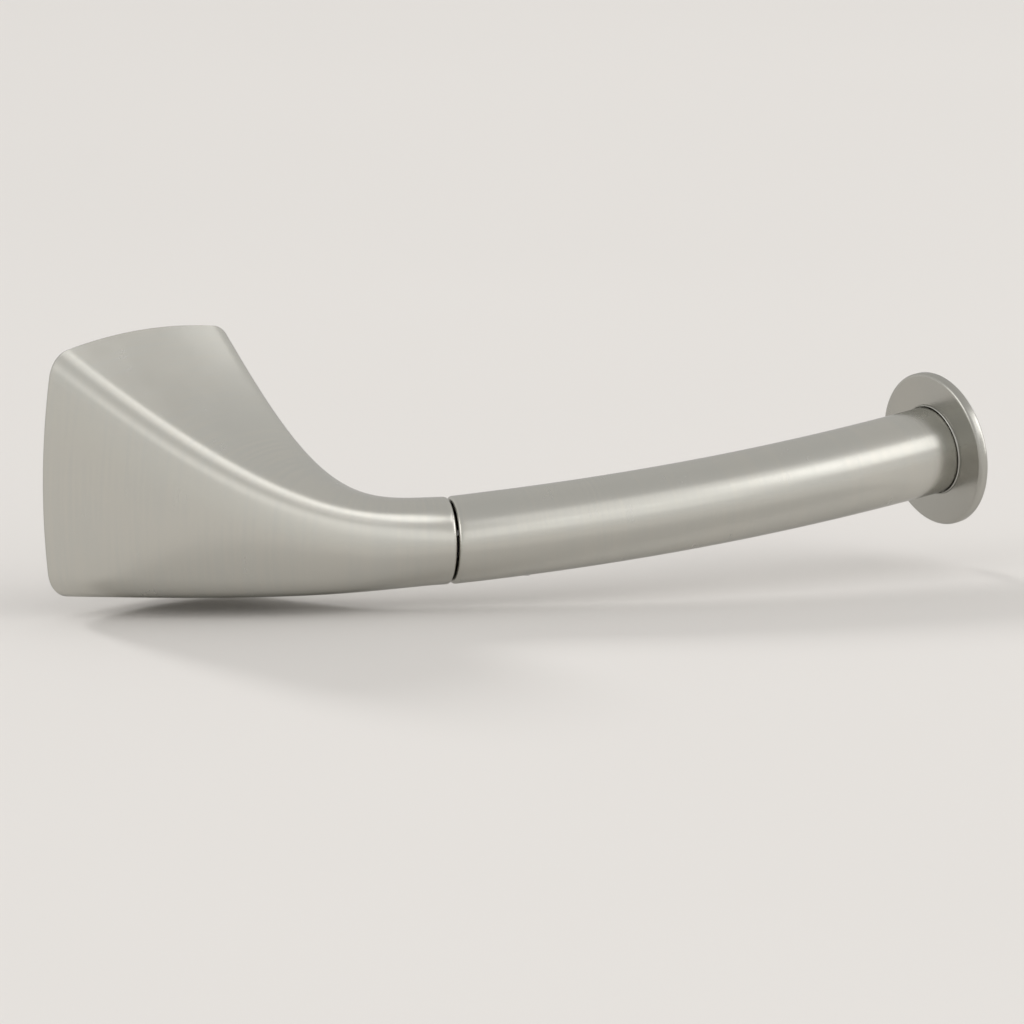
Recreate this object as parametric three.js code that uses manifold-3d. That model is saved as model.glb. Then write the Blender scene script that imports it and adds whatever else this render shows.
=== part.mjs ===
// Single-post wall holder for a toilet paper roll, with a lift-up arm.
// Millimetres. The wall is the plane Y = 0, the room is towards -Y, +Z is up.
// The origin is the centre of the base on the wall, and the arm runs towards +X.
import * as THREE from 'three';
import { mergeVertices } from 'three/addons/utils/BufferGeometryUtils.js';
import Module from 'manifold-3d';

const wasm = await Module();
wasm.setup();

// Driving dimensions
const clearance = 0.3; // air kept between pieces that touch
const base = { half: 33.2, backEdge: 1.2, bulge: 0.087, corner: 0.22 };
const neck = { x: 56.4, out: 54, z: -20.1, radius: 11.0, heading: 32.5, rim: 0.8 };
const post = {
  startHeading: 60, startPull: 0.66, endPull: 0.23,
  topEase: 3.65, widthEase: 2.75, bottomEase: 1.2, bulgeEase: 1.2, cornerEase: 1.15,
  wall: 4, cavityEnd: 0.7,
};
const arm = {
  gap: 0.45, radius: 11.05, endRadius: 11.15, bore: 9.8, rim: 0.8,
  reach: new THREE.Vector3(133.3, 30.5, 13.1),
  turn: 23.5, startRise: 4.5, endRise: 6.5, pull: 0.345,
};
const disc = { radius: 19.75, thickness: 2.8, edge: 0.9, spigotRadius: 9.4, spigot: 3, hole: 4.3 };
const hinge = {
  x: 11, z: 7.6, pinRadius: 1.0, pinHalf: 4.1,
  noseRadius: 2.0, lugHalf: 1.7, washer: 0.5, cheekIn: 2.75, cheekOut: 4.3,
};
const lug = { footDepth: 8, shankRadius: 2.5, shankEnd: -22.5, z: -3.75, footHalfHeight: 3.15 };
const lugJoin = 1 - lug.footDepth; // the shank runs this far into the lug's foot
const seat = { x: -14, radius: 6.2, back: -34 };
const block = {
  radius: 9.4, ledgeStart: 4, cheekStart: 8.6, plugStart: 15.5, end: 25,
  cheekBottom: 4.4, ledgeTop: -5, ledgeHalf: 3, outside: 14,
};
const eyeAir = 0.25; // the pin turns in the lug's eye
const bracket = {
  halfWidth: 16, top: 22, bottom: -26.5, sheet: 2.5, topDepth: 5, bottomDepth: 8.5, fold: 1,
  holeRadius: 2.5, holeZ: 13,
};
const wallScrew = {
  headRadius: 4, headHeight: 2.6, shankRadius: 1.9, tip: 29.5, point: 6,
  slotReach: 2.2, slotHalf: 0.5, slotDepth: 1.3,
};
const anchor = {
  start: 2.4, end: 27, radius: 3.9, tailRadius: 2.9, bore: 2.2, ribs: 6,
  collar: 2, tail: 1.5, chamfer: 0.4, ribDepth: 0.5,
};
const baseGrub = { radius: 2, bottom: -32.2, y: -6, holeBottom: -40, holeTop: -24 };
const armGrub = { radius: 1.5, x: 20, top: -3, bottom: -9.5, holeBottom: -14 };
const fixing = {
  bore: 2.8, washerRadius: 5.2, washerBack: 1.3, lockRadius: 4.4, lockFrom: 1.6, lockBack: 2.8,
  nutRadius: 4.62, nutFrom: 3.1, nutBack: 7.1,
};
const bumper = { start: 5, end: 7.4, halfWidth: 1.5, top: -2.6 };
const stud = { radius: 2, plugLength: 12, plugInset: 4, inset: 2 };

const nickel = () => new THREE.MeshStandardMaterial({ color: 0xa8a59a, roughness: 0.35, metalness: 1 });
const steel = () => new THREE.MeshStandardMaterial({ color: 0x8f9294, roughness: 0.4, metalness: 1 });
const zinc = () => new THREE.MeshStandardMaterial({ color: 0x9a9c9e, roughness: 0.55, metalness: 1 });
const brass = () => new THREE.MeshStandardMaterial({ color: 0xb08d4a, roughness: 0.4, metalness: 1 });
const nylon = () => new THREE.MeshStandardMaterial({ color: 0xe8e4da, roughness: 0.6, metalness: 0 });
const rubber = () => new THREE.MeshStandardMaterial({ color: 0x2a2a2a, roughness: 0.8, metalness: 0 });

const root = new THREE.Group();
const radians = THREE.MathUtils.degToRad;

// The hinge frame sits on the neck's axis at the seam: local X leaves the neck, Z is up.
const hingeMatrix = new THREE.Matrix4()
  .makeRotationZ(-radians(neck.heading))
  .setPosition(neck.x, -neck.out, neck.z);
const hingeFrame = new THREE.Group();
hingeFrame.applyMatrix4(hingeMatrix);
root.add(hingeFrame);

function addPiece(parent, name, geometry, material) {
  const mesh = new THREE.Mesh(geometry, material);
  mesh.name = name;
  parent.add(mesh);
  return mesh;
}

function toSolid(geometry) {
  const bare = geometry.clone();
  bare.deleteAttribute('normal');
  bare.deleteAttribute('uv');
  const merged = mergeVertices(bare, 1e-5);
  return new wasm.Manifold(new wasm.Mesh({
    numProp: 3,
    vertProperties: new Float32Array(merged.attributes.position.array),
    triVerts: new Uint32Array(merged.index.array),
  }));
}

function toGeometry(solid) {
  const mesh = solid.getMesh();
  const geometry = new THREE.BufferGeometry();
  geometry.setAttribute('position', new THREE.BufferAttribute(new Float32Array(mesh.vertProperties), 3));
  geometry.setIndex(new THREE.BufferAttribute(new Uint32Array(mesh.triVerts), 1));
  geometry.computeVertexNormals();
  return geometry;
}

// A cylinder along X from one x to another, centred on (y, z).
function rodX(radius, x0, x1, y = 0, z = 0, sides = 32) {
  return new THREE.CylinderGeometry(radius, radius, x1 - x0, sides)
    .rotateZ(Math.PI / 2)
    .translate((x0 + x1) / 2, y, z);
}

function rodY(radius, y0, y1, x = 0, z = 0, sides = 32) {
  return new THREE.CylinderGeometry(radius, radius, y1 - y0, sides).translate(x, (y0 + y1) / 2, z);
}

function rodZ(radius, z0, z1, x = 0, y = 0, sides = 32) {
  return new THREE.CylinderGeometry(radius, radius, z1 - z0, sides)
    .rotateX(Math.PI / 2)
    .translate(x, y, (z0 + z1) / 2);
}

function boxBetween(x0, x1, y0, y1, z0, z1) {
  return new THREE.BoxGeometry(x1 - x0, y1 - y0, z1 - z0)
    .translate((x0 + x1) / 2, (y0 + y1) / 2, (z0 + z1) / 2);
}

// A closed loft: a cylinder whose rings are laid on a list of sections.
// Each section has a centre, two axes across it and a point on its rim at each angle.
function loft(sections, sides) {
  const rows = sections.length - 1;
  const geometry = new THREE.CylinderGeometry(1, 1, 1, sides, rows);
  const position = geometry.attributes.position;
  for (let i = 0; i < position.count; i++) {
    const x = position.getX(i);
    const z = position.getZ(i);
    const section = sections[Math.round((0.5 - position.getY(i)) * rows)];
    const spread = Math.min(1, Math.round(Math.hypot(x, z)));
    const rim = section.rim(Math.atan2(z, x));
    const point = section.centre.clone()
      .addScaledVector(section.across, rim.x * spread)
      .addScaledVector(section.up, rim.y * spread);
    position.setXYZ(i, point.x, point.y, point.z);
  }
  return geometry;
}

// Rounded square with bowed sides that turns into a circle, at most 1 across from its centre.
function squarePoint(angle, bulge, corner) {
  const half = 1 - bulge;
  const sideRadius = (half * half + bulge * bulge) / (2 * bulge);
  const sideCentre = 1 - sideRadius;
  const reach = sideRadius - corner;
  const cornerCentre = (sideCentre + Math.sqrt(2 * reach * reach - sideCentre * sideCentre)) / 2;
  const joint = Math.atan2(cornerCentre, cornerCentre - sideCentre);
  const jointAngle = Math.atan2(sideRadius * Math.sin(joint), sideCentre + sideRadius * Math.cos(joint));
  const polar = angle + 0.15 * Math.sin(4 * angle);
  const quarter = Math.PI / 2;
  const folded = Math.abs(polar - quarter * Math.round(polar / quarter));
  const onSide = folded < jointAngle;
  const along = onSide ? sideCentre * Math.cos(folded) : cornerCentre * (Math.cos(folded) + Math.sin(folded));
  const offset = onSide ? sideCentre * sideCentre : 2 * cornerCentre * cornerCentre;
  const radius = onSide ? sideRadius : corner;
  const distance = along + Math.sqrt(along * along - offset + radius * radius);
  return new THREE.Vector2(distance * Math.cos(polar), distance * Math.sin(polar));
}

// The post sweeps from the square on the wall to the round neck.
const neckAim = radians(neck.heading);
const startAim = radians(post.startHeading);
const sweep = Math.hypot(neck.x, neck.out);
const postPath = new THREE.CubicBezierCurve3(
  new THREE.Vector3(0, -base.backEdge, 0),
  new THREE.Vector3(Math.cos(startAim), -Math.sin(startAim), 0).multiplyScalar(post.startPull * sweep),
  new THREE.Vector3(neck.x, -neck.out, 0)
    .addScaledVector(new THREE.Vector3(Math.cos(neckAim), -Math.sin(neckAim), 0), -post.endPull * sweep),
  new THREE.Vector3(neck.x, -neck.out, 0)
    .addScaledVector(new THREE.Vector3(Math.cos(neckAim), -Math.sin(neckAim), 0), -neck.rim),
);

function postSection(t, inset, advance) {
  const turn = 0.5 * (t + t * t * (3 - 2 * t));
  const aim = Math.PI / 2 + (neckAim - Math.PI / 2) * turn;
  const forward = new THREE.Vector3(Math.cos(aim), -Math.sin(aim), 0);
  const width = neck.radius + (base.half - neck.radius) * (1 - t) ** post.widthEase;
  const top = neck.z + neck.radius + (base.half - neck.z - neck.radius) * (1 - t) ** post.topEase;
  const bottom = neck.z - neck.radius - (base.half + neck.z - neck.radius) * (1 - t) ** post.bottomEase;
  const bulge = base.bulge + (1 - Math.SQRT1_2 - base.bulge) * t ** post.bulgeEase;
  const corner = base.corner + (0.995 - base.corner) * t ** post.cornerEase;
  return {
    centre: postPath.getPoint(t).setZ((top + bottom) / 2).addScaledVector(forward, advance),
    across: new THREE.Vector3(Math.sin(aim), Math.cos(aim), 0),
    up: new THREE.Vector3(0, 0, 1),
    rim(angle) {
      const point = squarePoint(angle, bulge, corner);
      point.x *= width - inset;
      point.y *= (top - bottom) / 2 - inset;
      return point;
    },
  };
}

function postSections(rows, tEnd, inset) {
  const list = [];
  for (let i = 0; i <= rows; i++) {
    list.push(postSection((tEnd * i) / rows, inset, 0));
  }
  return list;
}

// A quarter round: how far the rim is drawn in and moved along, from 0 to 90 degrees.
function quarterRound(radius, steps) {
  return Array.from({ length: steps }, (_, i) => {
    const angle = (Math.PI / 2) * ((i + 1) / steps);
    return { inset: radius * (1 - Math.cos(angle)), advance: radius * Math.sin(angle) };
  });
}

function makePostShell() {
  const back = quarterRound(base.backEdge, 2).reverse()
    .map((step) => postSection(0, step.inset, -step.advance));
  const front = quarterRound(neck.rim, 2).map((step) => postSection(1, step.inset, step.advance));
  const outside = toSolid(loft([...back, ...postSections(22, 1, 0), ...front], 56));
  const mouth = postSection(0, post.wall, -base.backEdge - 1);
  const cavity = toSolid(loft([mouth, ...postSections(10, post.cavityEnd, post.wall)], 28));
  const slotHalf = hinge.lugHalf + clearance;
  const slotHeight = lug.footHalfHeight + clearance;
  const slotEnd = -lug.footDepth - clearance;
  const foot = boxBetween(slotEnd, 1, -slotHalf, slotHalf, lug.z - slotHeight, lug.z + slotHeight);
  const shankBore = rodX(lug.shankRadius + clearance, seat.back, lugJoin + clearance, 0, lug.z, 24);
  const nutSeat = rodX(seat.radius, seat.back, seat.x, 0, lug.z);
  const { radius, y, holeBottom, holeTop } = baseGrub;
  const grubHole = rodZ(radius + clearance, holeBottom, holeTop, 0, y, 24);
  let shell = outside.subtract(cavity);
  for (const cutter of [foot, shankBore, nutSeat]) {
    shell = shell.subtract(toSolid(cutter.applyMatrix4(hingeMatrix)));
  }
  return toGeometry(shell.subtract(toSolid(grubHole)));
}

// Folded steel bracket: a back plate with a short flange at the top and a long one at the bottom.
function makeBracket() {
  const { halfWidth, top, bottom, sheet, topDepth, bottomDepth, fold, holeRadius, holeZ } = bracket;
  const profile = new THREE.Shape();
  profile.moveTo(0, bottom);
  profile.lineTo(bottomDepth, bottom);
  profile.lineTo(bottomDepth, bottom + sheet);
  profile.lineTo(sheet + fold, bottom + sheet);
  profile.quadraticCurveTo(sheet, bottom + sheet, sheet, bottom + sheet + fold);
  profile.lineTo(sheet, top - sheet - fold);
  profile.quadraticCurveTo(sheet, top - sheet, sheet + fold, top - sheet);
  profile.lineTo(topDepth, top - sheet);
  profile.lineTo(topDepth, top);
  profile.lineTo(0, top);
  profile.closePath();
  const drawn = { depth: 2 * halfWidth, bevelEnabled: false, curveSegments: 4 };
  const channel = new THREE.ExtrudeGeometry(profile, drawn)
    .translate(0, 0, -halfWidth)
    .applyMatrix4(new THREE.Matrix4().makeBasis(
      new THREE.Vector3(0, -1, 0), new THREE.Vector3(0, 0, 1), new THREE.Vector3(-1, 0, 0)));
  let solid = toSolid(channel);
  for (const z of [holeZ, -holeZ]) {
    solid = solid.subtract(toSolid(rodY(holeRadius, -sheet - 1, 1, 0, z, 24)));
  }
  return toGeometry(solid);
}

function lathe(points, sides) {
  return new THREE.LatheGeometry(points.map(([radius, height]) => new THREE.Vector2(radius, height)), sides);
}

// Pan-head screw: its head is in front of the bracket and its point is in the wall.
function makeWallScrew() {
  const { headRadius, headHeight, shankRadius, tip, point, slotReach, slotHalf, slotDepth } = wallScrew;
  const under = -bracket.sheet - clearance;
  const top = under - headHeight;
  const body = lathe([
    [0, top],
    [headRadius * 0.55, top + 0.1 * headHeight],
    [headRadius * 0.88, top + 0.4 * headHeight],
    [headRadius, top + 0.8 * headHeight],
    [headRadius * 0.97, under],
    [shankRadius, under],
    [shankRadius, tip - point],
    [0, tip],
  ], 20);
  const floor = top + slotDepth;
  const above = top - headHeight;
  return toGeometry(toSolid(body)
    .subtract(toSolid(boxBetween(-slotReach, slotReach, above, floor, -slotHalf, slotHalf)))
    .subtract(toSolid(boxBetween(-slotHalf, slotHalf, above, floor, -slotReach, slotReach))));
}

// Ribbed plug in the wall, open at both ends.
function makeAnchor() {
  const { start, end, radius, tailRadius, bore, ribs, collar, tail, chamfer, ribDepth } = anchor;
  const outline = [[bore, start], [radius, start], [radius, start + collar]];
  const pitch = (end - start - collar - tail) / ribs;
  for (let i = 0; i < ribs; i++) {
    const from = start + collar + i * pitch;
    const wide = radius + ((tailRadius - radius) * (i + 0.5)) / ribs;
    outline.push([wide - ribDepth, from + 0.05 * pitch], [wide, from + 0.8 * pitch]);
  }
  outline.push([tailRadius, end - tail], [tailRadius - chamfer, end], [bore, end], [bore, start]);
  return lathe(outline, 16);
}

// Headless screw with a hexagon socket in its lower end, standing on z0.
function makeGrub(radius, z0, z1) {
  const body = toSolid(rodZ(radius, z0, z1, 0, 0, 24));
  const socket = toSolid(rodZ(radius * 0.55, z0 - 1, z0 + radius, 0, 0, 6));
  return toGeometry(body.subtract(socket));
}

// Cranked lug: its foot is in the neck, and its nose carries the pin inside the arm.
function makeHingeLug() {
  const { x, z, noseRadius, lugHalf } = hinge;
  const reach = noseRadius * Math.SQRT2;
  const footTop = lug.z + lug.footHalfHeight;
  const footBottom = lug.z - lug.footHalfHeight;
  const side = new THREE.Shape();
  side.moveTo(-lug.footDepth, footBottom);
  side.lineTo(footBottom - z + reach + x, footBottom);
  side.lineTo(x + noseRadius * Math.SQRT1_2, z - noseRadius * Math.SQRT1_2);
  side.absarc(x, z, noseRadius, -Math.PI / 4, (3 * Math.PI) / 4, false);
  side.lineTo(x + footTop - z - reach, footTop);
  side.lineTo(-lug.footDepth, footTop);
  side.closePath();
  const eye = new THREE.Path();
  eye.absarc(x, z, hinge.pinRadius + eyeAir, 0, Math.PI * 2, true);
  side.holes.push(eye);
  const drawn = { depth: 2 * lugHalf, bevelEnabled: false, curveSegments: 16 };
  const plate = new THREE.ExtrudeGeometry(side, drawn)
    .rotateX(Math.PI / 2)
    .translate(0, lugHalf, 0);
  const shank = rodX(lug.shankRadius, lug.shankEnd, lugJoin, 0, lug.z, 24);
  return toGeometry(toSolid(plate).add(toSolid(shank)));
}

// A ring on the lug's shank, from one distance to another behind the seat.
function makeShankRing(outer, back, front, sides) {
  const ring = toSolid(rodX(outer, seat.x - back, seat.x - front, 0, lug.z, sides));
  const hole = toSolid(rodX(fixing.bore, seat.x - back - 1, seat.x - front + 1, 0, lug.z, 24));
  return toGeometry(ring.subtract(hole));
}

function makeThrustWasher(side) {
  const y0 = hinge.lugHalf + clearance;
  const ring = lathe([
    [hinge.pinRadius + clearance, y0],
    [hinge.noseRadius, y0],
    [hinge.noseRadius, y0 + hinge.washer],
    [hinge.pinRadius + clearance, y0 + hinge.washer],
    [hinge.pinRadius + clearance, y0],
  ], 24);
  if (side < 0) {
    ring.rotateX(Math.PI);
  }
  return ring.translate(hinge.x, 0, hinge.z);
}

// The arm's centre line, in the hinge frame.
const armTurn = radians(arm.turn);
const startRise = radians(arm.startRise);
const endRise = radians(arm.endRise);
const armStart = new THREE.Vector3(Math.cos(startRise), 0, Math.sin(startRise));
const armEnd = new THREE.Vector3(
  Math.cos(armTurn) * Math.cos(endRise), Math.sin(armTurn) * Math.cos(endRise), Math.sin(endRise));
const armPull = arm.pull * arm.reach.length();
const armPath = new THREE.CubicBezierCurve3(
  new THREE.Vector3(),
  armStart.clone().multiplyScalar(armPull),
  arm.reach.clone().addScaledVector(armEnd, -armPull),
  arm.reach.clone(),
);
const armLength = armPath.getLength();

// Round section of the arm at a distance from the seam; the first lie parallel to the seam.
function armSection(distance, radius, advance = 0) {
  const share = THREE.MathUtils.clamp(distance / armLength, 0, 1);
  const past = distance - share * armLength;
  const square = THREE.MathUtils.smoothstep(distance, 0, 15);
  const tangent = armPath.getTangentAt(share);
  const forward = new THREE.Vector3(1, 0, 0).lerp(tangent, square).normalize();
  const across = new THREE.Vector3().crossVectors(forward, new THREE.Vector3(0, 0, 1)).normalize();
  return {
    centre: armPath.getPointAt(share).addScaledVector(tangent, past).addScaledVector(forward, advance),
    across,
    up: new THREE.Vector3().crossVectors(forward, across),
    rim: (angle) => new THREE.Vector2(Math.cos(angle), Math.sin(angle)).multiplyScalar(radius),
  };
}

function armSections(from, to, rows, startRadius, endRadius = startRadius) {
  return Array.from({ length: rows + 1 }, (_, i) => {
    const distance = from + ((to - from) * i) / rows;
    return armSection(distance, THREE.MathUtils.lerp(startRadius, endRadius, i / rows));
  });
}

function makeArmTube() {
  const edge = arm.gap + arm.rim;
  const nose = quarterRound(arm.rim, 2).reverse()
    .map((step) => armSection(edge, arm.radius - step.inset, -step.advance));
  const tube = armSections(edge, armLength, 18, arm.radius, arm.endRadius);
  const bore = armSections(-2, armLength + 2, 15, arm.bore);
  const grubHole = rodZ(armGrub.radius + clearance, armGrub.holeBottom, armGrub.top - 1, armGrub.x, 0, 16);
  return toGeometry(toSolid(loft([...nose, ...tube], 40))
    .subtract(toSolid(loft(bore, 32)))
    .subtract(toSolid(grubHole)));
}

// Plug pinned inside the arm's mouth: two cheeks for the pin and a ledge for the stop.
function makeHingeBlock() {
  const { radius, ledgeStart, cheekStart, plugStart, end, cheekBottom, ledgeTop, ledgeHalf, outside } = block;
  const round = toSolid(loft(armSections(ledgeStart, end, 4, radius), 32));
  const joined = plugStart + 1;
  const parts = [
    boxBetween(plugStart, end + 2, -outside, outside, -outside, outside),
    boxBetween(cheekStart, joined, hinge.cheekIn, hinge.cheekOut, cheekBottom, outside),
    boxBetween(cheekStart, joined, -hinge.cheekOut, -hinge.cheekIn, cheekBottom, outside),
    boxBetween(ledgeStart - 1, joined, -ledgeHalf, ledgeHalf, -outside, ledgeTop),
  ].map(toSolid);
  const kept = parts.reduce((sum, part) => sum.add(part));
  const pinEnd = hinge.pinHalf + 2;
  const pinHole = toSolid(rodY(hinge.pinRadius + clearance, -pinEnd, pinEnd, hinge.x, hinge.z, 24));
  const { holeBottom, top, x } = armGrub;
  const grubHole = toSolid(rodZ(armGrub.radius + clearance, holeBottom, top + 1, x, 0, 16));
  return toGeometry(round.intersect(kept).subtract(pinHole).subtract(grubHole));
}

function makeStopBumper() {
  const { start, end, halfWidth, top } = bumper;
  return boxBetween(start, end, -halfWidth, halfWidth, block.ledgeTop + clearance, top);
}

function makeEndPlug() {
  const from = armLength - stud.plugInset - stud.plugLength;
  const plug = toSolid(loft(armSections(from, armLength - stud.plugInset, 2, block.radius), 28));
  const bore = toSolid(loft(armSections(from - 3, armLength, 2, stud.radius + clearance), 16));
  return toGeometry(plug.subtract(bore));
}

// The disc's frame: local X leaves the arm's far end.
const discFrame = new THREE.Group();
discFrame.position.copy(arm.reach);
discFrame.rotation.set(0, -endRise, armTurn, 'ZYX');
hingeFrame.add(discFrame);

function makeEndDisc() {
  const { radius, thickness, edge, spigotRadius, spigot, hole } = disc;
  const face = clearance;
  const holeRadius = stud.radius + clearance;
  const holeEnd = hole - spigot + clearance;
  const outline = [[0, holeEnd], [holeRadius, holeEnd], [holeRadius, -spigot]];
  outline.push([spigotRadius, -spigot], [spigotRadius, face]);
  const steps = 6;
  for (let i = 0; i <= steps; i++) {
    const angle = -Math.PI / 2 + (Math.PI * i) / steps;
    const height = 2 * i <= steps ? face + edge : face + thickness - edge;
    outline.push([radius - edge + edge * Math.cos(angle), height + edge * Math.sin(angle)]);
  }
  outline.push([0, face + thickness]);
  return lathe(outline, 48).rotateZ(-Math.PI / 2);
}

function makeDiscStud() {
  const inner = -stud.plugInset - stud.plugLength + stud.inset;
  return rodX(stud.radius, inner, disc.hole - disc.spigot, 0, 0, 24);
}

addPiece(root, 'post_shell', makePostShell(), nickel());
addPiece(root, 'wall_bracket', makeBracket(), zinc());
for (const [place, z] of [['upper', bracket.holeZ], ['lower', -bracket.holeZ]]) {
  addPiece(root, `wall_screw_${place}`, makeWallScrew(), steel()).position.z = z;
  addPiece(root, `wall_anchor_${place}`, makeAnchor(), nylon()).position.z = z;
}
const grubTop = bracket.bottom - clearance;
addPiece(root, 'post_set_screw', makeGrub(baseGrub.radius, baseGrub.bottom, grubTop), steel())
  .position.y = baseGrub.y;
const { washerRadius, washerBack, lockRadius, lockFrom, lockBack, nutRadius, nutFrom, nutBack } = fixing;
const addToHinge = (name, geometry, material) => addPiece(hingeFrame, name, geometry, material);
addToHinge('hinge_lug', makeHingeLug(), steel());
addToHinge('lug_washer', makeShankRing(washerRadius, washerBack, clearance, 24), steel());
addToHinge('lug_lock_washer', makeShankRing(lockRadius, lockBack, lockFrom, 20), steel());
addToHinge('lug_nut', makeShankRing(nutRadius, nutBack, nutFrom, 6), steel());
addToHinge('arm_tube', makeArmTube(), nickel());
addToHinge('hinge_block', makeHingeBlock(), brass());
addToHinge('hinge_pin', rodY(hinge.pinRadius, -hinge.pinHalf, hinge.pinHalf, hinge.x, hinge.z, 24), steel());
addToHinge('thrust_washer_near', makeThrustWasher(-1), nylon());
addToHinge('thrust_washer_far', makeThrustWasher(1), nylon());
addToHinge('stop_bumper', makeStopBumper(), rubber());
addToHinge('arm_set_screw', makeGrub(armGrub.radius, armGrub.bottom, armGrub.top), steel())
  .position.x = armGrub.x;
addToHinge('end_plug', makeEndPlug(), brass());
addPiece(discFrame, 'disc_stud', makeDiscStud(), steel());
addPiece(discFrame, 'end_disc', makeEndDisc(), nickel());

export default root;
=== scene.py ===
# Satin nickel toilet paper holder with a lift-up arm.
# Metres in the scene, millimetres in the tables below. The wall is the plane Y = 0,
# the room is towards -Y, +Z is up and the arm runs towards +X.
import math

import bmesh
import bpy
from mathutils import Matrix, Vector


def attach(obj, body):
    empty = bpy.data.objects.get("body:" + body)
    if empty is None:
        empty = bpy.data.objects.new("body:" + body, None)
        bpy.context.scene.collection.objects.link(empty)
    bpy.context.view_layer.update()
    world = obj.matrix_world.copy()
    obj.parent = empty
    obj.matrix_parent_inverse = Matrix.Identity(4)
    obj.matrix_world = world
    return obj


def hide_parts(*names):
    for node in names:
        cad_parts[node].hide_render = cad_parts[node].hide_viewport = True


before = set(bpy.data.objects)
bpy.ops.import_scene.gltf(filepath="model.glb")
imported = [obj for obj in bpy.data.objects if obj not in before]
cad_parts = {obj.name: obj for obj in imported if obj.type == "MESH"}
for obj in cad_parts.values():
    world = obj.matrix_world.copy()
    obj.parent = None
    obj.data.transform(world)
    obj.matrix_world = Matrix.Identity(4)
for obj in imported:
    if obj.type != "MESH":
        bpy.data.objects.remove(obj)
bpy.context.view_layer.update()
print("frame loaded:", len(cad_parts), "nodes")

mm = 0.001
fullTurn = 2 * math.pi
upward = Vector((0, 0, 1))


# Materials

def newFinish(name, metallic, roughness):
    material = bpy.data.materials.new(name)
    material.use_nodes = True
    tree = material.node_tree
    surface = tree.nodes["Principled BSDF"]
    surface.inputs["Metallic"].default_value = metallic
    surface.inputs["Roughness"].default_value = roughness
    return material, tree, surface


def addNode(tree, kind, values=None, links=None, **settings):
    node = tree.nodes.new(kind)
    for key, value in settings.items():
        setattr(node, key, value)
    for key, value in (values or {}).items():
        node.inputs[key].default_value = value
    for key, source in (links or {}).items():
        tree.links.new(source, node.inputs[key])
    return node


def stretchedNoise(tree, source, stretch, scale, detail=3.0, rough=0.55, spin=(0, 0, 0)):
    mapping = addNode(tree, "ShaderNodeMapping", {"Scale": stretch, "Rotation": spin}, {"Vector": source})
    return addNode(tree, "ShaderNodeTexNoise", {"Scale": scale, "Detail": detail, "Roughness": rough},
                   {"Vector": mapping.outputs["Vector"]}).outputs["Fac"]


def remap(tree, source, low, high, start=0.3, end=0.7):
    return addNode(tree, "ShaderNodeMapRange",
                   {"From Min": start, "From Max": end, "To Min": low, "To Max": high},
                   {"Value": source}).outputs["Result"]


def blendColours(tree, factor, first, second):
    ramp = addNode(tree, "ShaderNodeValToRGB", None, {"Fac": factor})
    ramp.color_ramp.elements[0].position = 0.32
    ramp.color_ramp.elements[0].color = (*first, 1)
    ramp.color_ramp.elements[1].position = 0.68
    ramp.color_ramp.elements[1].color = (*second, 1)
    return ramp.outputs["Color"]


def addBump(tree, surface, heights):
    # heights is a list of (height socket, depth in metres), laid over one another
    normal = None
    for height, depth in heights:
        bump = addNode(tree, "ShaderNodeBump", {"Strength": 1.0, "Distance": depth}, {"Height": height})
        if normal is not None:
            tree.links.new(normal, bump.inputs["Normal"])
        normal = bump.outputs["Normal"]
    tree.links.new(normal, surface.inputs["Normal"])


# Brushed nickel: the grain attribute holds the distance along the piece and the place
# across it, so that the brushing runs round every section.
nickelLook = {
    "warm": (0.566, 0.557, 0.515), "cool": (0.552, 0.548, 0.512), "edge": (0.68, 0.68, 0.68),
    "roughLow": 0.23, "roughHigh": 0.27,
    "fineScale": 2600.0, "fineDepth": 0.0000003,
    "coarseScale": 1300.0, "coarseDepth": 0.0000005,
}


def makeNickel(name, shade):
    look = nickelLook
    # A shade below 1 darkens both colours, which paints shade into the nickel.
    warm, cool = (tuple(value * shade for value in look[key]) for key in ("warm", "cool"))
    material, tree, surface = newFinish(name, 1.0, 0.3)
    grain = addNode(tree, "ShaderNodeAttribute", attribute_name="grain").outputs["Vector"]
    place = addNode(tree, "ShaderNodeTexCoord").outputs["Object"]
    fine = stretchedNoise(tree, grain, (1, 0.03, 0.03), look["fineScale"], 2.0)
    coarse = stretchedNoise(tree, grain, (1, 0.03, 0.03), look["coarseScale"], 3.0)
    clouds = stretchedNoise(tree, place, (1, 1, 1), 38.0, 3.0)
    wear = stretchedNoise(tree, place, (1, 1, 1), 140.0, 4.0)
    marks = addNode(tree, "ShaderNodeMath", None, {0: clouds, 1: coarse}, operation="ADD").outputs[0]
    tone = remap(tree, marks, 0.0, 1.0, 0.75, 1.25)
    tree.links.new(blendColours(tree, tone, warm, cool), surface.inputs["Base Color"])
    streaks = remap(tree, coarse, -0.012, 0.012)
    rough = remap(tree, wear, look["roughLow"], look["roughHigh"])
    total = addNode(tree, "ShaderNodeMath", None, {0: streaks, 1: rough}, operation="ADD").outputs[0]
    tree.links.new(total, surface.inputs["Roughness"])
    surface.inputs["Specular Tint"].default_value = (*look["edge"], 1)
    addBump(tree, surface, [(fine, look["fineDepth"]), (coarse, look["coarseDepth"])])
    return material


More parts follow.
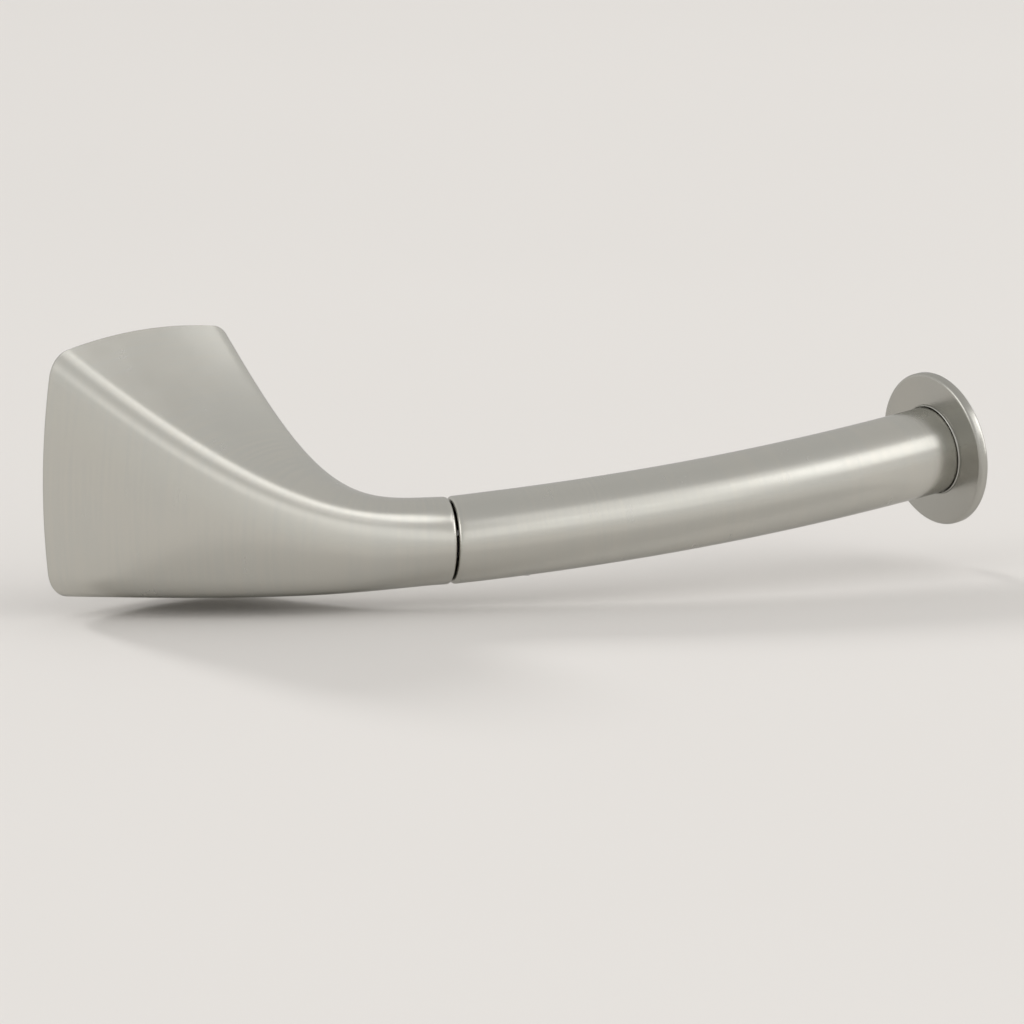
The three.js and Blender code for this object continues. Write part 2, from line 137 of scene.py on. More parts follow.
# Plain finishes of the fittings: two colours in clouds, a stretched grain and its depth.
fittingLooks = {
    "zinc": {"first": (0.56, 0.57, 0.59), "second": (0.68, 0.69, 0.70), "metallic": 1.0,
             "cloudScale": 420.0, "stretch": (1, 1, 1), "grainScale": 900.0, "grainDepth": 0.000012,
             "roughLow": 0.38, "roughHigh": 0.56},
    "steel": {"first": (0.52, 0.52, 0.53), "second": (0.62, 0.62, 0.63), "metallic": 1.0,
              "cloudScale": 260.0, "stretch": (1, 1, 0.08), "grainScale": 5200.0, "grainDepth": 0.000004,
              "roughLow": 0.24, "roughHigh": 0.40},
    "brass": {"first": (0.66, 0.47, 0.20), "second": (0.74, 0.57, 0.29), "metallic": 1.0,
              "cloudScale": 200.0, "stretch": (1, 0.1, 0.1), "grainScale": 4200.0, "grainDepth": 0.000006,
              "roughLow": 0.28, "roughHigh": 0.44},
    "nylon": {"first": (0.80, 0.79, 0.74), "second": (0.87, 0.86, 0.82), "metallic": 0.0,
              "cloudScale": 160.0, "stretch": (1, 1, 1), "grainScale": 2600.0, "grainDepth": 0.000010,
              "roughLow": 0.42, "roughHigh": 0.56},
    "rubber": {"first": (0.018, 0.018, 0.019), "second": (0.035, 0.035, 0.036), "metallic": 0.0,
               "cloudScale": 300.0, "stretch": (1, 1, 1), "grainScale": 3600.0, "grainDepth": 0.000020,
               "roughLow": 0.68, "roughHigh": 0.86},
}


def makeFitting(name, look):
    material, tree, surface = newFinish(name + "Finish", look["metallic"], look["roughLow"])
    place = addNode(tree, "ShaderNodeTexCoord").outputs["Object"]
    clouds = stretchedNoise(tree, place, (1, 1, 1), look["cloudScale"], 3.0)
    grain = stretchedNoise(tree, place, look["stretch"], look["grainScale"], 2.0)
    tree.links.new(blendColours(tree, clouds, look["first"], look["second"]), surface.inputs["Base Color"])
    tree.links.new(remap(tree, grain, look["roughLow"], look["roughHigh"]), surface.inputs["Roughness"])
    addBump(tree, surface, [(grain, look["grainDepth"])])
    return material


# The pieces of each body, for the lights that reach only one of them.
lit = {"post": [], "arm": []}
# The second nickel is the same finish made a fifth darker. It is painted shade for the end disc's face.
finishes = {"nickel": makeNickel("satinNickel", 1.0), "paintedShadeNickel": makeNickel("paintedShadeNickel", 0.8)}
for name, look in fittingLooks.items():
    finishes[name] = makeFitting(name, look)
print("materials made:", len(finishes))


# The shape's driving dimensions

base = {"half": 33.2, "backEdge": 1.2, "bulge": 0.087, "corner": 0.22}
neck = {"x": 56.4, "out": 54.0, "z": -20.1, "radius": 11.0, "heading": 32.5, "rim": 1.1}
post = {
    "startHeading": 60, "startPull": 0.66, "endPull": 0.23,
    "topEase": 3.65, "widthEase": 2.75, "bottomEase": 1.2, "bulgeEase": 1.2, "cornerEase": 1.15,
    "wall": 4.0, "cavityEnd": 0.7, "mouthChamfer": 0.35, "neckFace": 7.6, "slotLead": 0.25, "boreLead": 0.4,
    "rows": 84, "cavityRows": 30, "sides": 168,
}
arm = {
    "gap": 0.45, "radius": 11.05, "endRadius": 11.15, "bore": 9.8, "boreChamfer": 0.2,
    "rim": 1.0, "endRim": 0.15,
    "reach": Vector((133.3, 30.5, 13.1)), "turn": 23.5, "startRise": 4.5, "endRise": 6.5, "pull": 0.345,
    "rows": 96, "sides": 128,
}
hinge = {"x": 11.0, "z": 7.6, "pinRadius": 1.0, "pinHalf": 4.1, "noseRadius": 2.0, "lugHalf": 1.7,
         "eyeAir": 0.25, "washer": 0.5, "cheekIn": 2.75, "cheekOut": 4.3}
lug = {"footDepth": 8.0, "joint": 7.0, "shankRadius": 2.5, "shankEnd": -22.5, "z": -3.75,
       "footHalfHeight": 3.15, "pitch": 0.9, "threadDepth": 0.28}
seat = {"x": -14.0, "back": -34.0, "radius": 6.2}
air = 0.3  # left between pieces that touch

neckAim = math.radians(neck["heading"])
neckWay = Vector((math.cos(neckAim), -math.sin(neckAim), 0))
neckEnd = Vector((neck["x"], -neck["out"], 0))
sweep = neckEnd.length
hingePlace = Matrix.Translation(neckEnd + Vector((0, 0, neck["z"]))) @ Matrix.Rotation(-neckAim, 4, "Z")


def bezierPoint(points, t):
    a, b, c, d = points
    s = 1 - t
    return a * s ** 3 + b * (3 * s * s * t) + c * (3 * s * t * t) + d * t ** 3


def bezierWay(points, t):
    a, b, c, d = points
    s = 1 - t
    return ((b - a) * (s * s) + (c - b) * (2 * s * t) + (d - c) * (t * t)).normalized()


def smoothStep(value, low, high):
    share = min(1, max(0, (value - low) / (high - low)))
    return share * share * (3 - 2 * share)


def quarterRound(radius, steps):
    # how far the rim is drawn in and moved along, from 0 to 90 degrees
    turns = [math.pi / 2 * (i + 1) / steps for i in range(steps)]
    return [(radius * (1 - math.cos(a)), radius * math.sin(a)) for a in turns]


# Sections: each gives a place in space for an angle round it, in millimetres.

def squarePoint(angle, bulge, corner):
    # square with bowed sides and round corners that turns into a circle, in unit size
    half = 1 - bulge
    sideRadius = (half * half + bulge * bulge) / (2 * bulge)
    sideCentre = 1 - sideRadius
    reach = sideRadius - corner
    cornerCentre = (sideCentre + math.sqrt(2 * reach * reach - sideCentre * sideCentre)) / 2
    joint = math.atan2(cornerCentre, cornerCentre - sideCentre)
    jointAngle = math.atan2(sideRadius * math.sin(joint), sideCentre + sideRadius * math.cos(joint))
    polar = angle + 0.15 * math.sin(4 * angle)
    folded = abs(polar - math.pi / 2 * round(polar / (math.pi / 2)))
    if folded < jointAngle:
        along, offset, radius = sideCentre * math.cos(folded), sideCentre ** 2, sideRadius
    else:
        along = cornerCentre * (math.cos(folded) + math.sin(folded))
        offset, radius = 2 * cornerCentre ** 2, corner
    distance = along + math.sqrt(along * along - offset + radius * radius)
    return distance * math.cos(polar), distance * math.sin(polar)


startAim = math.radians(post["startHeading"])
postPath = [
    Vector((0, -base["backEdge"], 0)),
    Vector((math.cos(startAim), -math.sin(startAim), 0)) * post["startPull"] * sweep,
    neckEnd - neckWay * post["endPull"] * sweep,
    neckEnd - neckWay * neck["rim"],
]


def postSection(t, inset=0.0, advance=0.0):
    turn = 0.5 * (t + t * t * (3 - 2 * t))
    aim = math.pi / 2 + (neckAim - math.pi / 2) * turn
    forward = Vector((math.cos(aim), -math.sin(aim), 0))
    across = Vector((math.sin(aim), math.cos(aim), 0))
    radius = neck["radius"]
    rest = 1 - t
    width = radius + (base["half"] - radius) * rest ** post["widthEase"]
    top = neck["z"] + radius + (base["half"] - neck["z"] - radius) * rest ** post["topEase"]
    bottom = neck["z"] - radius - (base["half"] + neck["z"] - radius) * rest ** post["bottomEase"]
    bulge = base["bulge"] + (1 - math.sqrt(0.5) - base["bulge"]) * t ** post["bulgeEase"]
    corner = base["corner"] + (0.995 - base["corner"]) * t ** post["cornerEase"]
    centre = bezierPoint(postPath, t) + forward * advance
    centre.z = (top + bottom) / 2
    height = (top - bottom) / 2

    def place(angle):
        x, y = squarePoint(angle, bulge, corner)
        return centre + across * (x * (width - inset)) + upward * (y * (height - inset))
    return place


armTurn, startRise, endRise = (math.radians(arm[key]) for key in ("turn", "startRise", "endRise"))
armWay = Vector((math.cos(armTurn) * math.cos(endRise), math.sin(armTurn) * math.cos(endRise),
                 math.sin(endRise)))
armPull = arm["pull"] * arm["reach"].length
armPath = [
    Vector((0, 0, 0)),
    Vector((math.cos(startRise), 0, math.sin(startRise))) * armPull,
    arm["reach"] - armWay * armPull,
    arm["reach"],
]
pathSteps = 400
pathLengths = [0.0]
for i in range(pathSteps):
    piece = bezierPoint(armPath, (i + 1) / pathSteps) - bezierPoint(armPath, i / pathSteps)
    pathLengths.append(pathLengths[-1] + piece.length)
armLength = pathLengths[-1]


def armParameter(distance):
    # the curve's own parameter at a distance from the seam
    distance = min(max(distance, 0), armLength)
    i = 0
    while i < pathSteps - 1 and pathLengths[i + 1] < distance:
        i += 1
    step = pathLengths[i + 1] - pathLengths[i]
    return (i + (distance - pathLengths[i]) / step) / pathSteps


def armSection(distance, radius, advance=0.0):
    t = armParameter(distance)
    past = distance - min(max(distance, 0), armLength)
    tangent = bezierWay(armPath, t)
    forward = Vector((1, 0, 0)).lerp(tangent, smoothStep(distance, 0, 15)).normalized()
    across = forward.cross(upward).normalized()
    lift = forward.cross(across)
    centre = bezierPoint(armPath, t) + tangent * past + forward * advance

    def place(angle):
        return centre + across * (radius * math.cos(angle)) + lift * (radius * math.sin(angle))
    return place


def flatSection(x, outline, rise=0.0):
    # a section square to local X, from an outline that gives (y, z) by angle
    def place(angle):
        y, z = outline(angle)
        return Vector((x, y, rise + z))
    return place


def roundOutline(radius):
    return lambda angle: (radius * math.cos(angle), radius * math.sin(angle))


# Mesh tools

def newVerts(made):
    return [g for g in made if isinstance(g, bmesh.types.BMVert)]


def loft(rings, sides, closed=False, grain=None):
    # a circle extruded ring by ring, each ring laid on its section
    bm = bmesh.new()
    angleKey = bm.verts.layers.float.new("angle")
    grainKey = bm.verts.layers.float_vector.new("grain")
    verts = bmesh.ops.create_circle(bm, cap_ends=False, segments=sides, radius=1)["verts"]
    for vert in verts:
        vert[angleKey] = math.atan2(vert.co.y, vert.co.x)
    edges = list(bm.edges)
    firstEdges = edges
    along = 0.0
    centre = None
    for i, ring in enumerate(rings):
        if i:
            made = bmesh.ops.extrude_edge_only(bm, edges=edges)["geom"]
            verts = newVerts(made)
            edges = [g for g in made if isinstance(g, bmesh.types.BMEdge) and g.is_boundary]
        places = [ring(vert[angleKey]) for vert in verts]
        middle = sum(places, Vector()) / len(places)
        along += (middle - centre).length if centre is not None else 0.0
        centre = middle
        for vert, place in zip(verts, places):
            vert.co = place
            reach = (place - middle).length * mm
            angle = vert[angleKey]
            vert[grainKey] = (along * mm, reach * math.cos(angle), reach * math.sin(angle))
    if closed:
        bmesh.ops.bridge_loops(bm, edges=firstEdges + edges)
    else:
        bmesh.ops.holes_fill(bm, edges=firstEdges + edges, sides=0)
    return bm


def turned(profile, sides, dip=0.0):
    # a profile of (distance along X, radius) spun round X; dip rounds its corners
    bm = bmesh.new()
    grainKey = bm.verts.layers.float_vector.new("grain")
    verts = [bm.verts.new((x, radius, 0)) for x, radius in profile]
    closed = profile[0] == profile[-1]
    if closed:
        bm.verts.remove(verts.pop())
    edges = [bm.edges.new(pair) for pair in zip(verts, verts[1:])]
    if closed:
        edges.append(bm.edges.new((verts[-1], verts[0])))
    if dip:
        corners = [v for v in verts if len(v.link_edges) == 2]
        bmesh.ops.bevel(bm, geom=corners, offset=dip, segments=4, profile=0.5, affect="VERTICES",
                        material=-1, offset_type="OFFSET", clamp_overlap=True)
    bmesh.ops.spin(bm, geom=bm.verts[:] + bm.edges[:], cent=(0, 0, 0), axis=(1, 0, 0), dvec=(0, 0, 0),
                   angle=fullTurn, steps=sides, use_merge=True, use_duplicate=False)
    bmesh.ops.remove_doubles(bm, verts=bm.verts, dist=1e-4)
    for vert in bm.verts:
        vert[grainKey] = vert.co * mm
    return bm


def rod(radius, start, end, sides=48, dip=0.0):
    return turned([(start, 0), (start, radius), (end, radius), (end, 0)], sides, dip)


def threaded(radius, start, end, pitch, depth, sides=40, lead=0.4):
    # a rod with rounded thread crests between chamfered ends
    profile = [(start, 0), (start, radius - lead)]
    count = max(1, int((end - start - 2 * lead) / pitch))
    first = start + lead
    step = (end - start - 2 * lead) / count
    for i in range(count):
        profile += [(first + step * (i + 0.1), radius), (first + step * (i + 0.3), radius),
                    (first + step * (i + 0.62), radius - depth), (first + step * (i + 0.78), radius - depth)]
    profile += [(end, radius - lead), (end, 0)]
    return turned(profile, sides)


def block(x0, x1, y0, y1, z0, z1):
    bm = bmesh.new()
    bmesh.ops.create_cube(bm, size=1)
    bmesh.ops.scale(bm, vec=(x1 - x0, y1 - y0, z1 - z0), verts=bm.verts)
    bmesh.ops.translate(bm, vec=((x0 + x1) / 2, (y0 + y1) / 2, (z0 + z1) / 2), verts=bm.verts)
    return bm


def moved(bm, x=0.0, y=0.0, z=0.0, turn=0.0, axis="Z"):
    matrix = Matrix.Translation((x, y, z)) @ Matrix.Rotation(math.radians(turn), 4, axis)
    bmesh.ops.transform(bm, matrix=matrix, verts=bm.verts)
    return bm


def asObject(bm, name):
    bmesh.ops.remove_doubles(bm, verts=bm.verts, dist=1e-5)
    bmesh.ops.recalc_face_normals(bm, faces=bm.faces)
    mesh = bpy.data.meshes.new(name)
    bm.to_mesh(mesh)
    bm.free()
    obj = bpy.data.objects.new(name, mesh)
    bpy.context.scene.collection.objects.link(obj)
    return obj


def combine(bm, others, operation="DIFFERENCE"):
    # a Boolean with each of the others, made final; the others are used up
    body = asObject(bm, "joining")
    tools = [asObject(other, "tool") for other in others]
    for tool in tools:
        modifier = body.modifiers.new("shape", "BOOLEAN")
        modifier.object = tool
        modifier.operation = operation
        modifier.solver = "EXACT"
    bpy.context.view_layer.update()
    shaped = body.evaluated_get(bpy.context.evaluated_depsgraph_get()).to_mesh()
    result = bmesh.new()
    result.from_mesh(shaped)
    for obj in [body, *tools]:
        mesh = obj.data
        bpy.data.objects.remove(obj)
        bpy.data.meshes.remove(mesh)
    return result


def addPiece(name, bm, finish, body, node, place=None, edge=0.0, sharp=34):
    if place is not None:
        bmesh.ops.transform(bm, matrix=place, verts=bm.verts)
    bmesh.ops.scale(bm, vec=(mm, mm, mm), verts=bm.verts)
    bmesh.ops.remove_doubles(bm, verts=bm.verts, dist=2e-7)
    bmesh.ops.recalc_face_normals(bm, faces=bm.faces)
    for face in bm.faces:
        face.smooth = True
    mesh = bpy.data.meshes.new(name)
    bm.to_mesh(mesh)
    bm.free()
    mesh.set_sharp_from_angle(angle=math.radians(sharp))
    mesh.materials.append(finishes[finish])
    obj = bpy.data.objects.new(name, mesh)
    bpy.context.scene.collection.objects.link(obj)
    if edge:
        modifier = obj.modifiers.new("softEdges", "BEVEL")
        modifier.width = edge * mm
        modifier.segments = 3
        modifier.limit_method = "ANGLE"
        modifier.angle_limit = math.radians(sharp)
        modifier.harden_normals = True
    lit[body].append(obj)
    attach(obj, body)
    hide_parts(node)
    print("made", name, len(mesh.polygons), "faces")
    return obj


# The post: one skin from the wall round the neck's end, through the bore and the hollow.

slotPower = 6.0  # how square the slot is: 2 would be an ellipse


def slotOutline(halfWidth, halfHeight):
    def outline(angle):
        c, s = math.cos(angle), math.sin(angle)
        reach = (abs(c) ** slotPower + abs(s) ** slotPower) ** (-1 / slotPower)
        return halfWidth * c * reach, halfHeight * s * reach
    return outline


def hingeSection(x, outline, z=0.0):
    section = flatSection(x, outline, z)
    return lambda angle: hingePlace @ section(angle)


def makePost():
    slotHalf = hinge["lugHalf"] + air
    slotHeight = lug["footHalfHeight"] + air
    footEnd = -lug["footDepth"] - air
    boreRadius = lug["shankRadius"] + air
    lead = post["slotLead"]
    rows = post["rows"]
    back = [postSection(0, draw, -along) for draw, along in reversed(quarterRound(base["backEdge"], 6))]
    skin = [postSection(i / rows) for i in range(rows + 1)]
    front = [postSection(1, draw, along) for draw, along in quarterRound(neck["rim"], 6)]
    slot = slotOutline(slotHalf, slotHeight)
    bore = roundOutline(boreRadius)
    inside = [
        hingeSection(0, roundOutline(post["neckFace"]), -1.6),
        hingeSection(0, slotOutline(slotHalf + lead, slotHeight + lead), lug["z"]),
        hingeSection(-lead, slot, lug["z"]),
        hingeSection(footEnd, slot, lug["z"]),
        hingeSection(footEnd - post["boreLead"], bore, lug["z"]),
        hingeSection(seat["x"] - 1, bore, lug["z"]),
    ]
    wall, end, cavityRows = post["wall"], post["cavityEnd"], post["cavityRows"]
    cavity = [postSection(end * (1 - i / cavityRows), wall) for i in range(cavityRows + 1)]
    chamfer = post["mouthChamfer"]
    mouth = [postSection(0, wall, chamfer - base["backEdge"]),
             postSection(0, wall - chamfer, -base["backEdge"])]
    return loft([*back, *skin, *front, *inside, *cavity, *mouth], post["sides"], closed=True)


def atHinge(bm):
    bmesh.ops.transform(bm, matrix=hingePlace, verts=bm.verts)
    return bm


baseGrub = {"radius": 2.0, "bottom": -32.2, "y": -6.0, "hole": (-40, -24)}
seatCutter = atHinge(moved(rod(seat["radius"], seat["back"], seat["x"]), z=lug["z"]))
grubCutter = moved(rod(baseGrub["radius"] + air, *baseGrub["hole"]), y=baseGrub["y"], turn=-90, axis="Y")
shankCutter = rod(lug["shankRadius"] + air, -lug["footDepth"] - 1, air - lug["joint"])
shankCutter = atHinge(moved(shankCutter, z=lug["z"]))
shell = combine(makePost(), [seatCutter, grubCutter, shankCutter])
addPiece("postShell", shell, "nickel", "post", "post_shell", sharp=40)


# The arm: a hollow tube from the seam to the disc.

armGrub = {"radius": 1.5, "x": 20.0, "top": -3.0, "bottom": -9.5, "hole": (-14, -4)}


def armRing(distance, radius, advance=0.0):
    section = armSection(distance, radius, advance)
    return lambda angle: hingePlace @ section(angle)


def makeArm():
    start = arm["gap"] + arm["rim"]
    rows = arm["rows"]
    last = armLength - arm["endRim"]
    radius, growth = arm["radius"], arm["endRadius"] - arm["radius"]
    rounding = quarterRound(arm["rim"], 6)
    mouth = [armRing(start, radius - draw, -along) for draw, along in reversed(rounding)]
    shares = [i / rows for i in range(rows + 1)]
    tube = [armRing(start + (last - start) * share, radius + growth * share) for share in shares]
    tail = [armRing(last, arm["endRadius"] - draw, along) for draw, along in quarterRound(arm["endRim"], 3)]
    boreRows, inner, chamfer = rows // 2, arm["bore"], arm["boreChamfer"]
    boreStart = start - 2 * chamfer
    bore = [armRing(armLength + (boreStart - armLength) * i / boreRows, inner) for i in range(boreRows + 1)]
    lip = [armRing(arm["gap"] + chamfer, inner), armRing(arm["gap"], inner + chamfer)]
    return loft([*mouth, *tube, *tail, *bore, *lip], arm["sides"], closed=True)


armCutter = moved(rod(armGrub["radius"] + air, *armGrub["hole"], 32), x=armGrub["x"], turn=-90, axis="Y")
armCutter = atHinge(armCutter)
addPiece("armTube", combine(makeArm(), [armCutter]), "nickel", "arm", "arm_tube", sharp=40)


# The end disc, turned in one piece with the spigot that centres it in the tube.

disc = {"radius": 19.75, "thickness": 2.8, "edge": 0.9, "spigotRadius": 9.4, "spigot": 3.0, "hole": 4.3,
        "sides": 192, "beadDepth": 0.5, "beadHalf": 0.25, "beadRadius": 11.46}
discPlace = (hingePlace @ Matrix.Translation(arm["reach"]) @ Matrix.Rotation(armTurn, 4, "Z")
             @ Matrix.Rotation(-endRise, 4, "Y"))
stud = {"radius": 2.0, "plugLength": 12.0, "plugInset": 4.0, "pitch": 0.8}


def makeDisc():
    face, edge = air, disc["edge"]
    holeEnd, holeRadius = disc["hole"] - disc["spigot"] + air, stud["radius"] + air
    profile = [(holeEnd, 0), (holeEnd, holeRadius), (-disc["spigot"], holeRadius),
               (-disc["spigot"], disc["spigotRadius"] - 0.4), (-disc["spigot"] + 0.4, disc["spigotRadius"]),
               (face, disc["spigotRadius"])]
    for i in range(9):
        angle = math.pi * i / 8
        profile.append((face - disc["beadDepth"] * math.sin(angle),
                        disc["beadRadius"] - disc["beadHalf"] * math.cos(angle)))
    profile += [(face, disc["beadRadius"] + 2.4 * i) for i in range(1, 4)]
    for i in range(17):
        angle = -math.pi / 2 + math.pi * i / 16
        middle = face + edge if i <= 8 else face + disc["thickness"] - edge
        profile.append((middle + edge * math.sin(angle), disc["radius"] - edge + edge * math.cos(angle)))
    profile += [(face + disc["thickness"], disc["radius"] - edge - 2.6 * i) for i in range(1, 8)]
    profile.append((face + disc["thickness"], 0))
    return turned(profile, disc["sides"])


# The disc wears the darker copy of the nickel: painted shade, not a different finish.
addPiece("endDisc", makeDisc(), "paintedShadeNickel", "arm", "end_disc", discPlace, sharp=40)


# The wall bracket: a folded sheet with a short flange above and a long one below.

bracket = {"halfWidth": 16.0, "top": 22.0, "bottom": -26.5, "sheet": 2.5, "topDepth": 5.0, "bottomDepth": 8.5,
           "fold": 1.0, "holeRadius": 2.5, "holeZ": 13.0, "corner": 2.0}


def plate(outline, front, back):
    # an outline in (x, z) drawn through from one y to another
    bm = bmesh.new()
    face = bm.faces.new([bm.verts.new((x, front, z)) for x, z in outline])
    made = bmesh.ops.extrude_face_region(bm, geom=[face])["geom"]
    bmesh.ops.translate(bm, vec=(0, back - front, 0), verts=newVerts(made))
    return bm


def bevelWhere(bm, test, radius, segments=6):
    edges = [edge for edge in bm.edges if all(test(vert.co) for vert in edge.verts)]
    bmesh.ops.bevel(bm, geom=edges, offset=radius, segments=segments, profile=0.5, affect="EDGES",
                    material=-1, offset_type="OFFSET", clamp_overlap=True)


def close(value, wanted):
    return abs(value - wanted) < 1e-3


def makeBracket():
    top, bottom, sheet, half = (bracket[key] for key in ("top", "bottom", "sheet", "halfWidth"))
    deep, shallow, fold = bracket["bottomDepth"], bracket["topDepth"], bracket["fold"]
    outline = [(0, bottom), (deep, bottom), (deep, bottom + sheet), (sheet, bottom + sheet),
               (sheet, top - sheet), (shallow, top - sheet), (shallow, top), (0, top)]
    bm = plate(outline, -half, half)
    for z in (bottom, top):
        inner = z + math.copysign(sheet, -z)
        bevelWhere(bm, lambda co, z=z: close(co.x, 0) and close(co.z, z), sheet + fold)
        bevelWhere(bm, lambda co, z=inner: close(co.x, sheet) and close(co.z, z), fold)
    for side in (-half, half):
        bevelWhere(bm, lambda co, s=side: close(co.x, deep) and close(co.y, s), bracket["corner"])
        bevelWhere(bm, lambda co, s=side: close(co.x, shallow) and close(co.y, s), bracket["corner"])
    bmesh.ops.rotate(bm, cent=(0, 0, 0), matrix=Matrix.Rotation(-math.pi / 2, 3, "Z"), verts=bm.verts)
    heights = (bracket["holeZ"], -bracket["holeZ"])
    return combine(bm, [moved(rod(bracket["holeRadius"], -sheet - 1, 1), z=z, turn=90) for z in heights])


addPiece("wallBracket", makeBracket(), "zinc", "post", "wall_bracket", edge=0.25)


# Two pan-head screws and their plugs, one above the other in the wall.

wallScrew = {"headRadius": 4.0, "headHeight": 2.6, "shankRadius": 1.9, "rootRadius": 1.35, "tip": 29.5,
             "pitch": 1.7, "taper": 7.0, "dome": 0.55, "slot": 1.0, "slotReach": 2.2, "slotDepth": 1.3}
anchor = {"start": 2.4, "end": 27.0, "radius": 3.9, "tailRadius": 2.9, "bore": 2.2, "ribs": 6,
          "ribHeight": 0.55, "collar": 2.0, "tail": 1.5, "slit": 0.9, "slitFrom": 13.0}


def makeWallScrew():
    look = wallScrew
    under = -bracket["sheet"] - air
    top = under - look["headHeight"]
    domeSteps = 10
    profile = []
    for i in range(domeSteps + 1):
        angle = math.pi / 2 * i / domeSteps
        height = look["headHeight"] * math.cos(angle) ** look["dome"]
        profile.append((under - height, look["headRadius"] * math.sin(angle)))
    profile.append((under, look["shankRadius"]))
    profile.append((0, look["shankRadius"]))
    place = 0.6
    while place < look["tip"] - 1.2:
        crest = look["shankRadius"] * min(1, (look["tip"] - place) / look["taper"])
        root = look["rootRadius"] * min(1, (look["tip"] - place) / look["taper"])
        profile += [(place, root), (place + look["pitch"] * 0.55, root),
                    (place + look["pitch"] * 0.82, crest), (place + look["pitch"] * 0.9, crest)]
        place += look["pitch"]
    profile.append((look["tip"], 0))
    reach, half = look["slotReach"], look["slot"] / 2
    floor = top + look["slotDepth"]
    cross = [block(top - 5, floor, -reach, reach, -half, half),
             block(top - 5, floor, -half, half, -reach, reach)]
    return combine(turned(profile, 40), cross)


def makeAnchor():
    look = anchor
    start, end = look["start"], look["end"]
    collar, ribs = look["collar"], look["ribs"]
    profile = [(start, look["bore"]), (start, look["radius"] - 0.3), (start + 0.3, look["radius"]),
               (start + collar, look["radius"])]
    pitch = (end - start - 2 * collar) / ribs
    for i in range(ribs):
        begin = start + collar + i * pitch
        crest = look["radius"] + (look["tailRadius"] - look["radius"]) * (i + 0.5) / ribs + 0.05
        profile += [(begin + 0.2, crest - look["ribHeight"]), (begin + pitch * 0.72, crest),
                    (begin + pitch * 0.84, crest)]
    profile += [(end - look["tail"], look["tailRadius"]), (end, look["tailRadius"] - 0.4),
                (end, look["bore"]), (start, look["bore"])]
    half = look["slit"] / 2
    slits = [block(look["slitFrom"], end + 1, -6, 6, -half, half)]
    return combine(turned(profile, 48), slits)


for place, height in (("Upper", bracket["holeZ"]), ("Lower", -bracket["holeZ"])):
    spot = Matrix.Translation((0, 0, height)) @ Matrix.Rotation(math.pi / 2, 4, "Z")
    low = place.lower()
    addPiece("wallScrew" + place, makeWallScrew(), "steel", "post", "wall_screw_" + low, spot)
    addPiece("wallAnchor" + place, makeAnchor(), "nylon", "post", "wall_anchor_" + low, spot)


# Headless screws with a hexagon socket, standing upright.

def makeGrub(radius, bottom, top, pitch=0.7):
    body = threaded(radius, bottom, top, pitch, 0.22)
    socket = rod(radius * 0.55, bottom - 1, bottom + radius, 6)
    return moved(combine(body, [socket]), turn=-90, axis="Y")


postScrew = makeGrub(baseGrub["radius"], baseGrub["bottom"], bracket["bottom"] - air)
armScrew = makeGrub(armGrub["radius"], armGrub["bottom"], armGrub["top"])
addPiece("postSetScrew", moved(postScrew, y=baseGrub["y"]), "steel", "post", "post_set_screw")
addPiece("armSetScrew", moved(armScrew, x=armGrub["x"]), "steel", "arm", "arm_set_screw", hingePlace)


# The hinge: a cranked lug held in the neck by a nut, and a block in the arm that carries the pin.

# A washer's or the nut's "From" and "Back" are distances back from the seat.
fixing = {"bore": 2.8, "washerRadius": 5.2, "washerBack": 1.3,
          "lockRadius": 4.4, "lockFrom": 1.6, "lockBack": 2.8,
          "nutRadius": 4.62, "nutFrom": 3.1, "nutBack": 7.1, "nutBore": 2.55, "nutCorner": 0.45}
carrier = {"radius": 9.4, "ledgeStart": 4.0, "cheekStart": 8.6, "plugStart": 15.5, "end": 25.0,
           "cheekBottom": 4.4, "top": 14.0, "bottom": -12.0, "ledgeTop": -5.0, "ledgeHalf": 3.0}
bumper = {"x": (5.0, 7.4), "halfWidth": 1.5, "top": -2.6, "round": 0.45}


def makeLug():
    x, z, nose = hinge["x"], hinge["z"], hinge["noseRadius"]
    top, bottom = lug["z"] + lug["footHalfHeight"], lug["z"] - lug["footHalfHeight"]
    reach = nose * math.sqrt(2)
    steps = 20
    outline = [(-lug["footDepth"], bottom), (bottom - z + reach + x, bottom)]
    for i in range(steps + 1):
        angle = -math.pi / 4 + math.pi * i / steps
        outline.append((x + nose * math.cos(angle), z + nose * math.sin(angle)))
    outline += [(x + top - z - reach, top), (-lug["footDepth"], top)]
    shank = threaded(lug["shankRadius"], lug["shankEnd"], -lug["joint"], lug["pitch"], lug["threadDepth"], 48)
    half = hinge["lugHalf"]
    body = combine(plate(outline, -half, half), [moved(shank, z=lug["z"])], "UNION")
    eye = moved(rod(hinge["pinRadius"] + hinge["eyeAir"], -6, 6), x=x, z=z, turn=90)
    return combine(body, [eye])


def ring(inner, outer, start, end, sides=64, dip=0.0):
    return turned([(start, inner), (start, outer), (end, outer), (end, inner), (start, inner)], sides, dip)


def makeNut():
    end, start = seat["x"] - fixing["nutFrom"], seat["x"] - fixing["nutBack"]
    radius, dip = fixing["nutRadius"], fixing["nutCorner"]
    hexagon = rod(radius, start, end, 6)
    cone = turned([(start, 0), (start, radius - dip), (start + dip * 0.6, radius), (end - dip * 0.6, radius),
                   (end, radius - dip), (end, 0)], 64)
    blank = combine(hexagon, [cone], "INTERSECT")
    return moved(combine(blank, [rod(fixing["nutBore"], start - 1, end + 1)]), z=lug["z"])


